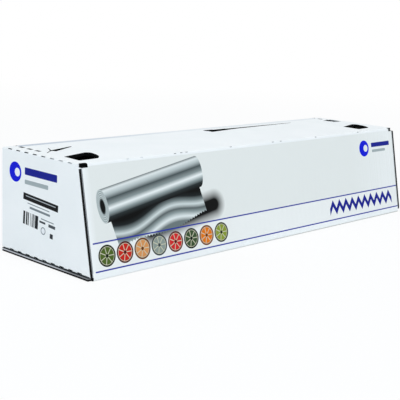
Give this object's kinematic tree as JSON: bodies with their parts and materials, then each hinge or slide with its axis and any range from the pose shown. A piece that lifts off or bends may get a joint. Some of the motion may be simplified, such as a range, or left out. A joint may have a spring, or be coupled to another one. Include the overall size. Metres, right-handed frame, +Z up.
{
  "type": "boxed aluminium foil roll",
  "caption": "Wide catering foil roll on a board core inside a long closed dispenser carton with a leaning front, finger holes and a tear-open lid.",
  "frame": {"origin": "middle of the carton's bottom face", "axes": "+X along the carton from the end the picture shows to the far end, the leaning front wall faces -Y, +Z up"},
  "size_m": [0.412, 0.1126, 0.0855],
  "materials": {
    "printed_board": "white coated corrugated board, satin",
    "foil": "bright rolled foil",
    "core_board": "spirally wound grey-brown board",
    "strip_steel": "tinned strip steel"
  },
  "bodies": {
    "root": {"carton": "printed_board", "foil_roll": "foil", "core_tube": "core_board", "cutting_strip": "strip_steel"}
  },
  "joints": []
}
